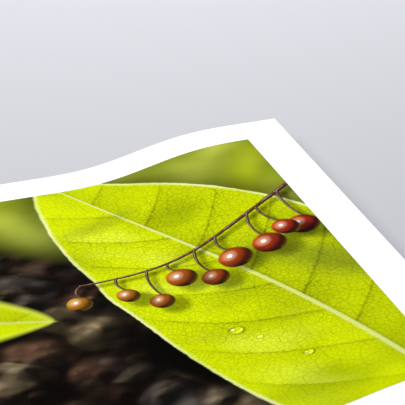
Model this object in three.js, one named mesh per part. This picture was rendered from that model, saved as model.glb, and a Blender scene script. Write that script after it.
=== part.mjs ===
// A photographic print: one A4 sheet of heavy resin-coated photo paper with an even white border round
// its picture. It lies face up on a table. Most of it is flat, the right-hand end climbs a soft S-shaped
// wave to a raised, level edge, and the left-hand end lifts slightly.
//
// Paper bends but doesn't stretch, so the sheet is a cylinder in the general sense: it is bent along one
// profile curve, and every line across that curve, called a ruling here, stays straight and level.
//
// Millimetres. +X runs along the long side towards the raised end, +Y up the picture, +Z off the table.
// The origin is the middle of the sheet's outline, at the level of the table.

import * as THREE from "three";

// The sheet, laid out flat
const SHEET_LENGTH = 297;
const SHEET_WIDTH = 210;
const SHEET_THICKNESS = 0.26;
const BORDER = 14;

// The dyed layer that carries the picture, which stands on the paper's face inside the border
const PICTURE_LENGTH = SHEET_LENGTH - 2 * BORDER;
const PICTURE_WIDTH = SHEET_WIDTH - 2 * BORDER;
const PICTURE_THICKNESS = 0.04;
const LAYER_GAP = 0.02;

// The bend. Distances are measured on the flat sheet from its middle, square to the rulings.
const RULING_SKEW = THREE.MathUtils.degToRad(3);
const WAVE_MIDDLE = 104.7;
const WAVE_HALF_SPAN = 35.4;
const WAVE_STEEPEST = THREE.MathUtils.degToRad(13.5);
const LIFT_START = -92;
const LIFT_STEEPEST = THREE.MathUtils.degToRad(5.5);
const PROFILE_STEP = 0.25;

// How finely the sheet is faceted
const WAVE_FACET = 2.5;
const LIFT_FACET = 5;
const FLAT_FACET = 20;
const ROW_HEIGHT = 19;

/** The sheet's slope at a distance q along the profile, in radians. */
function slopeAt(q) {
  const fromWave = (q - WAVE_MIDDLE) / WAVE_HALF_SPAN;
  if (Math.abs(fromWave) < 1) return WAVE_STEEPEST * Math.cos((Math.PI / 2) * fromWave) ** 2;
  const intoLift = (LIFT_START - q) / (LIFT_START + SHEET_LENGTH / 2);
  return intoLift > 0 ? -LIFT_STEEPEST * intoLift : 0;
}

/** Follows the profile from the sheet's middle to a distance q: how far it gets along, and how high. */
function profileAt(q) {
  const steps = Math.max(1, Math.ceil(Math.abs(q) / PROFILE_STEP));
  const stride = q / steps;
  let along = 0;
  let height = 0;
  for (let i = 0; i < steps; i++) {
    const slope = slopeAt((i + 0.5) * stride);
    along += Math.cos(slope) * stride;
    height += Math.sin(slope) * stride;
  }
  return { along, height };
}

/** Bends a point of the flat sheet, which lies lift above the sheet's underside. */
function bend(x, y, lift) {
  const [c, s] = [Math.cos(RULING_SKEW), Math.sin(RULING_SKEW)];
  const q = x * c + y * s;
  const onRuling = y * c - x * s;
  const { along, height } = profileAt(q);
  const slope = slopeAt(q);
  const shifted = along - lift * Math.sin(slope);
  return new THREE.Vector3(
    shifted * c - onRuling * s,
    shifted * s + onRuling * c,
    height + lift * Math.cos(slope),
  );
}

/** Evenly spaced stations from one value up to, but not including, another. */
function stations(from, to, spacing) {
  const count = Math.ceil((to - from) / spacing);
  return Array.from({ length: count }, (_, i) => from + ((to - from) * i) / count);
}

/** A bent slab between two levels: a box with one segment for each pair of stations, bent corner by corner. */
function bentSlab(xs, ys, low, high) {
  const [columns, rows] = [xs.length - 1, ys.length - 1];
  const slab = new THREE.BoxGeometry(columns, rows, 1, columns, rows, 1);
  const corner = slab.getAttribute("position");
  for (let i = 0; i < corner.count; i++) {
    const x = xs[Math.round(corner.getX(i) + columns / 2)];
    const y = ys[Math.round(corner.getY(i) + rows / 2)];
    const bent = bend(x, y, corner.getZ(i) > 0 ? high : low);
    corner.setXYZ(i, bent.x, bent.y, bent.z);
  }
  slab.computeVertexNormals();
  return slab;
}

// Stations over the picture, which the sheet shares so that the two slabs have the same facets
const waveStart = WAVE_MIDDLE - WAVE_HALF_SPAN - (SHEET_WIDTH / 2) * Math.sin(RULING_SKEW);
const liftEnd = LIFT_START + (SHEET_WIDTH / 2) * Math.sin(RULING_SKEW);
const pictureXs = [
  ...stations(-PICTURE_LENGTH / 2, liftEnd, LIFT_FACET),
  ...stations(liftEnd, waveStart, FLAT_FACET),
  ...stations(waveStart, PICTURE_LENGTH / 2, WAVE_FACET),
  PICTURE_LENGTH / 2,
];
const pictureYs = [...stations(-PICTURE_WIDTH / 2, PICTURE_WIDTH / 2, ROW_HEIGHT), PICTURE_WIDTH / 2];
const sheetXs = [
  ...stations(-SHEET_LENGTH / 2, -PICTURE_LENGTH / 2, LIFT_FACET),
  ...pictureXs,
  ...stations(PICTURE_LENGTH / 2, SHEET_LENGTH / 2, WAVE_FACET).slice(1),
  SHEET_LENGTH / 2,
];
const sheetYs = [-SHEET_WIDTH / 2, ...pictureYs, SHEET_WIDTH / 2];

const print = new THREE.Group();

const paperSheet = new THREE.Mesh(
  bentSlab(sheetXs, sheetYs, 0, SHEET_THICKNESS),
  new THREE.MeshStandardMaterial({ color: 0xf6f6f4, roughness: 0.42, metalness: 0 }),
);
paperSheet.name = "paper_sheet";
print.add(paperSheet);

const layerLow = SHEET_THICKNESS + LAYER_GAP;
const pictureLayer = new THREE.Mesh(
  bentSlab(pictureXs, pictureYs, layerLow, layerLow + PICTURE_THICKNESS),
  new THREE.MeshStandardMaterial({ color: 0x93a824, roughness: 0.34, metalness: 0 }),
);
pictureLayer.name = "picture_layer";
print.add(pictureLayer);

// The bend draws the raised end in by less than a millimetre, so the origin is set on the bent outline.
const outline = new THREE.Box3().setFromObject(print);
const middle = outline.getCenter(new THREE.Vector3());
print.position.set(-middle.x, -middle.y, -outline.min.z);

export default print;
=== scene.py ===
"""A photographic print: an A4 sheet of heavy photo paper with a white border round its picture.

The sheet lies face up on a plain floor. Most of it is flat, one end climbs a soft S-shaped wave to
a raised, level edge, and the other end lifts slightly. The printed picture is a made-up close-up
of fresh leaves with a sprig of berries, painted by shader nodes.

Lengths are in metres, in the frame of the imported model. Only the picture's own drawing is laid out
in millimetres, from the lower left corner of the picture.
"""

import logging
import math
from abc import ABC, abstractmethod
from dataclasses import dataclass, field, fields
from enum import IntEnum
from typing import ClassVar, TypeAlias

import bpy
import numpy as np
from mathutils import Matrix, Vector


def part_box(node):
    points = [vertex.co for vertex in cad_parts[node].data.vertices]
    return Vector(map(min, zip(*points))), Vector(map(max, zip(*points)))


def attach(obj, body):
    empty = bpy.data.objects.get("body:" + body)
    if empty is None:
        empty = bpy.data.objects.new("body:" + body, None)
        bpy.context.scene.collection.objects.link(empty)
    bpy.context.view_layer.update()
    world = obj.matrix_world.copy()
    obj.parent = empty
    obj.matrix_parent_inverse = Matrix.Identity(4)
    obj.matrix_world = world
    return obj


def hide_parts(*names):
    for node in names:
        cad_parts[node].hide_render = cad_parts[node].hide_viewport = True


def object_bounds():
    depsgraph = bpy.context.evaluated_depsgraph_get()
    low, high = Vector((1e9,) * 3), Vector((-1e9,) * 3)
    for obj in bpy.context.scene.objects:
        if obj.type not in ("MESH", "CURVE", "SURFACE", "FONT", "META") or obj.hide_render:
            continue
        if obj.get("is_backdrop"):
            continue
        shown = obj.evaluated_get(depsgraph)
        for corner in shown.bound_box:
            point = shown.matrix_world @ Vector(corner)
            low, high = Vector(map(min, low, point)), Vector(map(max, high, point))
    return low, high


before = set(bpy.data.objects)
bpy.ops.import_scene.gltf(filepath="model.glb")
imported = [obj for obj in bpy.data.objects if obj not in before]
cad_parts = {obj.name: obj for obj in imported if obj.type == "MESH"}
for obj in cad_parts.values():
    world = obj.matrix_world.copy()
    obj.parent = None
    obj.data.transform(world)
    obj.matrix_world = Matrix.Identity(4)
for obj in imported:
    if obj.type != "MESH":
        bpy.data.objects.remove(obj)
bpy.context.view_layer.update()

Array: TypeAlias = np.ndarray
Pair: TypeAlias = tuple[float, float]
Point: TypeAlias = tuple[float, float]  # a place in the picture, in millimetres
Place: TypeAlias = tuple[float, float, float]  # a place in the room
Rgb: TypeAlias = tuple[float, float, float]  # linear light
Number: TypeAlias = "float | Shade"

MM = 0.001
LOG = logging.getLogger("print")


def linear(code: str) -> Rgb:
    """The linear light of an sRGB colour that is written as six hexadecimal digits."""
    channels = (int(code[i : i + 2], 16) / 255 for i in (0, 2, 4))
    return tuple(c / 12.92 if c <= 0.04045 else ((c + 0.055) / 1.055) ** 2.4 for c in channels)


def blend(one: Rgb, other: Rgb, share: float) -> Rgb:
    """The colour that lies this share of the way from one to the other."""
    return tuple(a + (b - a) * share for a, b in zip(one, other, strict=True))


def bowed(bow: Number, share: Number) -> Number:
    """How far a parabola that rises by its bow is off the straight line, at a share of the way."""
    return bow * 4.0 * share * (1.0 - share)


# -------------------------------------------------------------------------------------------------
# Shader maths
# -------------------------------------------------------------------------------------------------


class Shade:
    """A number travelling through a node tree. Python's operators add the nodes that it takes."""

    maths = "ShaderNodeMath"

    def __init__(self, book: "NodeBook", socket: bpy.types.NodeSocket) -> None:
        """Wraps an output socket of a tree's node."""
        self.book = book
        self.socket = socket

    def work_out(self, operation: str, *operands: Number) -> "Shade":
        """What a maths node makes of the operands, as a shade of this one's kind."""
        node = self.book.add(self.maths, {"operation": operation}, dict(enumerate(operands)))
        return type(self)(self.book, node.outputs[0])

    def __add__(self, other: Number) -> "Shade":
        """This plus the other."""
        return self.work_out("ADD", self, other)

    __radd__ = __add__

    def __sub__(self, other: Number) -> "Shade":
        """This less the other."""
        return self.work_out("SUBTRACT", self, other)

    def __rsub__(self, other: Number) -> "Shade":
        """The other less this."""
        return self.work_out("SUBTRACT", other, self)

    def __mul__(self, other: Number) -> "Shade":
        """This times the other."""
        return self.work_out("MULTIPLY", self, other)

    __rmul__ = __mul__

    def __truediv__(self, other: Number) -> "Shade":
        """This over the other."""
        return self.work_out("DIVIDE", self, other)

    def __rtruediv__(self, other: Number) -> "Shade":
        """The other over this."""
        return self.work_out("DIVIDE", other, self)

    def __pow__(self, power: Number) -> "Shade":
        """This to a power."""
        return self.work_out("POWER", self, power)

    def __neg__(self) -> "Shade":
        """This with its sign turned."""
        return self * -1.0

    def __abs__(self) -> "Shade":
        """This without its sign."""
        return self.work_out("ABSOLUTE", self)

    def __gt__(self, level: Number) -> "Shade":
        """1 where this is above the level, and 0 elsewhere."""
        return self.work_out("GREATER_THAN", self, level)

    def root(self) -> "Shade":
        """The square root."""
        return self.work_out("SQRT", self)

    def fraction(self) -> "Shade":
        """What is left past the last whole number."""
        return self.work_out("FRACT", self)

    def at_least(self, floor: Number) -> "Shade":
        """The larger of this and the floor."""
        return self.work_out("MAXIMUM", self, floor)

    def at_most(self, top: Number) -> "Shade":
        """The smaller of this and the top."""
        return self.work_out("MINIMUM", self, top)

    def held(self) -> "Shade":
        """This kept between 0 and 1."""
        return self.at_least(0.0).at_most(1.0)

    def rise(self, start: Number, end: Number) -> "Shade":
        """A smooth step.

        Args:
            start: Where it is 0.
            end: Where it is 1, which may be below the start.

        Returns:
            The step, from 0 to 1.
        """
        node = self.book.add(
            "ShaderNodeMapRange",
            {"interpolation_type": "SMOOTHSTEP", "clamp": False},
            {"Value": self, "From Min": start, "From Max": end},
        )
        return Shade(self.book, node.outputs["Result"])

    def between(self, low: Number, high: Number) -> "Shade":
        """The value that lies this share of the way from low to high."""
        return self * (high - low) + low


class Tint(Shade):
    """A colour or a vector travelling through a node tree."""

    maths = "ShaderNodeVectorMath"
    MIX_SHARE, MIX_ONE, MIX_OTHER = 0, 4, 5  # the inputs of a Mix node of vectors, by place
    MIXED = 1  # its output

    def __mul__(self, other: "Number | Rgb") -> "Tint":
        """This times a number, or times another part by part.

        Args:
            other: A number, or a colour or vector.

        Returns:
            The product.
        """
        if isinstance(other, (Tint, tuple)):
            return self.work_out("MULTIPLY", self, other)
        node = self.book.add(self.maths, {"operation": "SCALE"}, {"Vector": self, "Scale": other})
        return Tint(self.book, node.outputs[0])

    __rmul__ = __mul__

    def towards(self, other: "Tint | Rgb", share: Number) -> "Tint":
        """Goes some of the way to another colour.

        Args:
            other: The other colour.
            share: The share of the way, from 0 to 1.

        Returns:
            The colour there.
        """
        inputs = {self.MIX_SHARE: share, self.MIX_ONE: self, self.MIX_OTHER: other}
        node = self.book.add("ShaderNodeMix", {"data_type": "VECTOR"}, inputs)
        return Tint(self.book, node.outputs[self.MIXED])

    def parts(self) -> tuple[Shade, Shade, Shade]:
        """The three numbers of a vector or colour."""
        node = self.book.add("ShaderNodeSeparateXYZ", {}, {0: self})
        return tuple(Shade(self.book, out) for out in node.outputs)


class NodeBook:
    """Writes nodes into one tree."""

    def __init__(self, tree: bpy.types.NodeTree) -> None:
        """Starts on an empty tree."""
        self.tree = tree
        tree.nodes.clear()

    def add(
        self,
        kind: str,
        settings: dict[str, object],
        inputs: dict[str | int, object],
    ) -> bpy.types.Node:
        """Adds one node.

        Args:
            kind: The node's type.
            settings: Its properties, which are set first.
            inputs: A value, colour or shade for each socket, by name or place.

        Returns:
            The node.
        """
        node = self.tree.nodes.new(kind)
        for name, value in settings.items():
            setattr(node, name, value)
        for key, value in inputs.items():
            self.feed(node.inputs[key], value)
        return node

    def feed(self, socket: bpy.types.NodeSocket, value: object) -> None:
        """Gives a socket its value.

        Args:
            socket: The socket.
            value: A shade to link to it, or a number, colour or vector to set it to.
        """
        if isinstance(value, Shade):
            self.tree.links.new(value.socket, socket)
        elif isinstance(value, tuple):
            socket.default_value = (*value, 1.0) if socket.type == "RGBA" else value
        elif socket.type == "VECTOR":
            socket.default_value = (value,) * 3
        else:
            socket.default_value = value

    def vector(self, x: Number, y: Number, z: Number = 0.0) -> Tint:
        """A vector of three numbers."""
        return Tint(self, self.add("ShaderNodeCombineXYZ", {}, {0: x, 1: y, 2: z}).outputs[0])

    def noise(
        self,
        place: Tint,
        size: float,
        detail: float = 2.0,
        planar: bool = True,
    ) -> tuple[Shade, Tint]:
        """Soft clouds.

        Args:
            place: Where to read them.
            size: The width of a cloud, in the units of place.
            detail: How many finer layers they carry.
            planar: Whether they lie in a plane and not in space.

        Returns:
            One cloud from 0 to 1, and three unlike ones as a colour.
        """
        settings = {"noise_dimensions": "2D" if planar else "3D"}
        inputs = {"Vector": place, "Scale": 1.0 / size, "Detail": detail}
        node = self.add("ShaderNodeTexNoise", settings, inputs)
        return Shade(self, node.outputs[0]), Tint(self, node.outputs[1])

    def pebbles(self, place: Tint, size: float, blur: float) -> tuple[Shade, Tint]:
        """A dense bed of rounded shapes that run into one another.

        Args:
            place: Where to read it.
            size: The width of a pebble, in the units of place.
            blur: How softly they meet, from 0 to 1.

        Returns:
            How far a point is from its pebble's middle, in pebble widths, and three numbers that
            differ from one pebble to the next.
        """
        settings = {"voronoi_dimensions": "2D", "feature": "SMOOTH_F1"}
        inputs = {"Vector": place, "Scale": 1.0 / size, "Smoothness": blur}
        node = self.add("ShaderNodeTexVoronoi", settings, inputs)
        return Shade(self, node.outputs["Distance"]), Tint(self, node.outputs["Color"])

    def cells(self, place: Tint, size: float) -> Shade:
        """A pattern of straight-walled cells.

        Args:
            place: Where to read it.
            size: The width of a cell, in the units of place.

        Returns:
            How far a point is from the nearest wall, as a share of a cell's width.
        """
        settings = {"voronoi_dimensions": "2D", "feature": "DISTANCE_TO_EDGE"}
        node = self.add("ShaderNodeTexVoronoi", settings, {"Vector": place, "Scale": 1.0 / size})
        return Shade(self, node.outputs["Distance"])


# -------------------------------------------------------------------------------------------------
# The printed picture: motifs
# -------------------------------------------------------------------------------------------------

SUN = Vector((-0.52, 0.58, 0.63)).normalized()  # towards the light in the picture
NEAR_WHITE = (1.0, 0.98, 0.93)


@dataclass
class Layer:
    """What every motif reads at a point.

    Attributes:
        u: Millimetres to the right of the picture's lower left corner.
        v: Millimetres above it.
        haze: A broad, soft cloud, about 0.
        tone: Another.
        patch: A third.
        crumb: A fine cloud, about 0.
        speck: Another.
        web: How far the walls of a coarse pattern of cells are, as a share of a cell.
        mesh: The same for a fine one.
        sharp: How much fine detail shows, from 0 to 1 where the picture is in focus.
        soft: How many times wider an edge is than in focus.
        under: The colour of what is painted so far.
    """

    u: Shade
    v: Shade
    haze: Shade
    tone: Shade
    patch: Shade
    crumb: Shade
    speck: Shade
    web: Shade
    mesh: Shade
    sharp: Shade
    soft: Shade
    under: Tint

    def values(self) -> dict[str, Shade]:
        """The layer's shades by name."""
        return {f.name: getattr(self, f.name) for f in fields(self)}


@dataclass(frozen=True)
class Mark:
    """A mark that sets in by a smooth step of what it follows.

    Attributes:
        depth: How strong it is.
        start: Where it is 0.
        full: Where it is at its strongest, which may be below the start.
    """

    depth: float
    start: float
    full: float

    def at(self, reading: Shade) -> Shade:
        """How strong the mark is, from 0 to its depth."""
        return reading.rise(self.start, self.full) * self.depth


class Given:
    """The inputs of a motif's node group, as shades named for its sockets."""

    def __init__(self, book: NodeBook, node: bpy.types.Node) -> None:
        """Reads a group's input node.

        Args:
            book: The group's nodes.
            node: The input node.
        """
        self.shades = {
            out.name: (Shade if out.type == "VALUE" else Tint)(book, out)
            for out in node.outputs
            if out.name
        }

    def __getattr__(self, name: str) -> Shade:
        """The shade on the socket of that name."""
        return self.shades[name]


@dataclass(frozen=True)
class Motif(ABC):
    """One kind of shape in the picture. Its nodes are one group, which all of its shapes use."""

    @abstractmethod
    def sockets(self) -> dict[str, float | Rgb]:
        """The numbers and colours that set this shape apart from others of its kind, by name."""

    @classmethod
    @abstractmethod
    def draw(cls, ink: Given) -> Tint:
        """The picture with a shape of this kind on it."""

    def own(self, *left_out: str) -> dict[str, float | Rgb]:
        """This shape's own fields by name, less those left out."""
        return {f.name: getattr(self, f.name) for f in fields(self) if f.name not in left_out}

    def group(self, layer: Layer) -> bpy.types.NodeTree:
        """This kind's node group, which the first shape of the kind makes.

        Args:
            layer: What every motif reads.

        Returns:
            The group.
        """
        name = f"printed_{type(self).__name__.lower()}"
        if name in bpy.data.node_groups:
            return bpy.data.node_groups[name]
        tree = bpy.data.node_groups.new(name, "ShaderNodeTree")
        for key, value in (layer.values() | self.sockets()).items():
            kind = "NodeSocketVector" if isinstance(value, (Tint, tuple)) else "NodeSocketFloat"
            tree.interface.new_socket(key, in_out="INPUT", socket_type=kind)
        tree.interface.new_socket("over", in_out="OUTPUT", socket_type="NodeSocketVector")
        book = NodeBook(tree)
        result = self.draw(Given(book, book.add("NodeGroupInput", {}, {})))
        book.add("NodeGroupOutput", {}, {"over": result})
        return tree

    def stamp(self, book: NodeBook, layer: Layer) -> Tint:
        """Adds this shape to the picture.

        Args:
            book: The picture's nodes.
            layer: What lies under the shape.

        Returns:
            The picture with the shape on it.
        """
        inputs = layer.values() | self.sockets()
        node = book.add("ShaderNodeGroup", {"node_tree": self.group(layer)}, inputs)
        return Tint(book, node.outputs["over"])


def turned(ink: Given) -> tuple[Shade, Shade]:
    """How far along and how far across a shape's own axes a point is, in millimetres."""
    du, dv = ink.u - ink.origin_u, ink.v - ink.origin_v
    return du * ink.cosine + dv * ink.sine, dv * ink.cosine - du * ink.sine


def tilted(origin: Point, turn: float) -> dict[str, float]:
    """The sockets that turned() reads, for a shape about a point, turned by an angle in radians."""
    names = ("origin_u", "origin_v", "cosine", "sine")
    return dict(zip(names, (*origin, math.cos(turn), math.sin(turn)), strict=True))


def axes(start: Point, end: Point) -> dict[str, float]:
    """The sockets that turned() reads, and the length, for a shape that runs between two points."""
    du, dv = end[0] - start[0], end[1] - start[1]
    return tilted(start, math.atan2(dv, du)) | {"length": math.hypot(du, dv)}


def in_axes(name: str, direction: Point | Vector, turn: float) -> dict[str, float]:
    """A direction in the picture, in axes turned by an angle in radians, as two sockets.

    Args:
        name: What the sockets' names start with.
        direction: Its parts to the right and up.
        turn: The angle.

    Returns:
        Its parts along and across the axes, by name.
    """
    right, up = direction[0], direction[1]
    cosine, sine = math.cos(turn), math.sin(turn)
    along, across = right * cosine + up * sine, up * cosine - right * sine
    return {f"{name}_along": along, f"{name}_across": across}


def squared(x: Shade, y: Shade) -> Shade:
    """The square of the distance from where both are 0."""
    return x * x + y * y


@dataclass(frozen=True)
class Oval(Motif):
    """A shape round a middle, where a point's place is read in the shape's own two radii.

    Attributes:
        centre: Its middle.
        radii: Its half sizes along its first and its second axis, in millimetres.
        turn: The turn of its axes, in degrees.
    """

    centre: Point
    radii: Pair
    turn: float = field(default=0.0, kw_only=True)

    def sockets(self) -> dict[str, float | Rgb]:
        """The oval's axes and radii, the light in its axes, and what else sets it apart.

        Returns:
            The sockets' numbers and colours by name.
        """
        turn = math.radians(self.turn)
        radii = {"radius_along": self.radii[0], "radius_across": self.radii[1]}
        own = self.own("centre", "radii", "turn")
        return tilted(self.centre, turn) | radii | in_axes("sun", SUN, turn) | own

    @staticmethod
    def find(ink: Given) -> tuple[Shade, Shade]:
        """How far along and how far across the oval a point is, in its radii."""
        along, across = turned(ink)
        return along / ink.radius_along, across / ink.radius_across


@dataclass(frozen=True)
class Glow(Oval):
    """A soft patch of light, shade or colour.

    Attributes:
        colour: Its colour.
        share: How much of it covers what lies under, in the middle.
    """

    CORE: ClassVar[float] = 0.1  # the share of the way out that has no fall-off
    RAGGED: ClassVar[float] = 0.225  # radii by which broad clouds move its edge

    colour: Rgb
    share: float

    @classmethod
    def draw(cls, ink: Given) -> Tint:
        """Blends in the colour by how near the middle the point is, in radii unevened by clouds."""
        distance = squared(*cls.find(ink)).root() + ink.haze * cls.RAGGED
        return ink.under.towards(ink.colour, distance.rise(1.0, cls.CORE) * ink.share)


@dataclass
class Spot:
    """Where a point is on a leaf.

    Attributes:
        across: Millimetres from the midrib, to the left looking to the tip.
        share: The share of the way from the base to the tip.
        out: Millimetres from the midrib, on either side.
        outward: The share of the way from the midrib to the edge.
        inside: Millimetres inside the edge, and negative beyond it.
        side: 1 on the left half and 0 on the right.
    """

    across: Shade
    share: Shade
    out: Shade
    outward: Shade
    inside: Shade
    side: Shade


@dataclass(frozen=True)
class Blade(Motif):
    """A leaf too far out of focus for its veins to show. Lengths are in millimetres.

    Attributes:
        base: The stalk's end of the leaf.
        tip: The other end.
        half_width: Half its greatest width.
        dark: The colour of its duller parts.
        light: The colour of its brighter parts.
        rim: The colour of its edge.
        bow: How far the midrib's middle is off the straight line.
        blur: Half the width over which its edge fades out.
        rim_width: The width of the coloured edge.
        rim_share: How much of the edge's colour shows.
        fold: How unlike its two halves are in lightness.
        ripple: How far fine clouds move its outline.
        shadow: How dark a shadow it throws.
        reach: How far the shadow goes beyond its outline.
    """

    BELLY: ClassVar[float] = 0.55  # how slowly it widens from the base
    TAPER: ClassVar[float] = 0.75  # how slowly it widens from the tip
    THINNEST: ClassVar[float] = 0.01  # the least half width that anything is divided by
    WANDER: ClassVar[float] = 2.4  # how far broad clouds move its outline
    DULL: ClassVar[Pair] = (-0.22, 0.34)  # where clouds start to dull it, and where they fully do
    TIP_DULL: ClassVar[float] = 0.25  # how much further the clouds dull its tip
    CREASE: ClassVar[Mark] = Mark(0.08, 2.0, 0.0)  # the midrib's groove, by blurs from the midrib
    UNDERCUT: ClassVar[float] = 0.25  # how far inside the outline its shadow is full, in reaches
    RIM_FULL: ClassVar[float] = 0.3  # how near the outline its rim is full, in soft edges
    RIM_BREAK: ClassVar[float] = 1.5  # how far broad clouds break the rim up
    RIM_LEVEL: ClassVar[float] = 0.9  # how much of it shows where they are even

    base: Point
    tip: Point
    half_width: float
    dark: Rgb
    light: Rgb
    rim: Rgb
    bow: float = 0.0
    blur: float = 6.0
    rim_width: float = 4.0
    rim_share: float = 0.4
    fold: float = 0.12
    ripple: float = 0.0
    shadow: float = 0.4
    reach: float = 14.0

    def sockets(self) -> dict[str, float | Rgb]:
        """The leaf's axes, outline, colours and softness.

        Returns:
            The sockets' numbers and colours by name. The half width is scaled so that the leaf's
            widest place has the one asked for.
        """
        widest = self.BELLY / (self.BELLY + self.TAPER)
        peak = widest**self.BELLY * (1 - widest) ** self.TAPER
        own = self.own("base", "tip") | {"half_width": self.half_width / peak}
        return axes(self.base, self.tip) | own

    @classmethod
    def find(cls, ink: Given) -> Spot:
        """Finds a point on the leaf.

        The half width is share^belly (1 - share)^taper of its scale, and the midrib is a parabola.

        Args:
            ink: The group's inputs.

        Returns:
            Where the point is.
        """
        along, across = turned(ink)
        share = (along / ink.length).held()
        across = across - bowed(ink.bow, share)
        out = abs(across)
        beyond = abs(along - share * ink.length)
        width = ink.half_width * share**cls.BELLY * (1.0 - share) ** cls.TAPER
        inside = width - out - beyond + (ink.crumb * ink.ripple + ink.haze * cls.WANDER)
        outward = (out / width.at_least(cls.THINNEST)).at_most(1.0)
        return Spot(across, share, out, outward, inside, across > 0.0)

    @classmethod
    def surface(cls, ink: Given, spot: Spot) -> Tint:
        """The colour of the leaf's face: two tones in clouds, two halves and a faint groove.

        Args:
            ink: The group's inputs.
            spot: Where the point is on the leaf.

        Returns:
            The colour there.
        """
        colour = ink.light.towards(ink.dark, (ink.tone + spot.share * cls.TIP_DULL).rise(*cls.DULL))
        halves = 1.0 + ink.fold * ((spot.across / ink.blur).held() - 0.5)
        return colour * (halves - cls.CREASE.at(spot.out / ink.blur))

    @classmethod
    def draw(cls, ink: Given) -> Tint:
        """The leaf over what lies under it, which it also shades.

        Args:
            ink: The group's inputs.

        Returns:
            The colour at a point.
        """
        spot = cls.find(ink)
        soft = ink.blur * ink.soft
        shaded = spot.inside.rise(-ink.reach, ink.reach * cls.UNDERCUT) * ink.shadow
        under = ink.under * (1.0 - shaded)
        colour = cls.surface(ink, spot)
        edge = spot.inside.rise(ink.rim_width + soft, soft * cls.RIM_FULL) * ink.rim_share
        colour = colour.towards(ink.rim, edge * (ink.patch * cls.RIM_BREAK + cls.RIM_LEVEL).held())
        return under.towards(colour, spot.inside.rise(-soft, soft))


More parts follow.
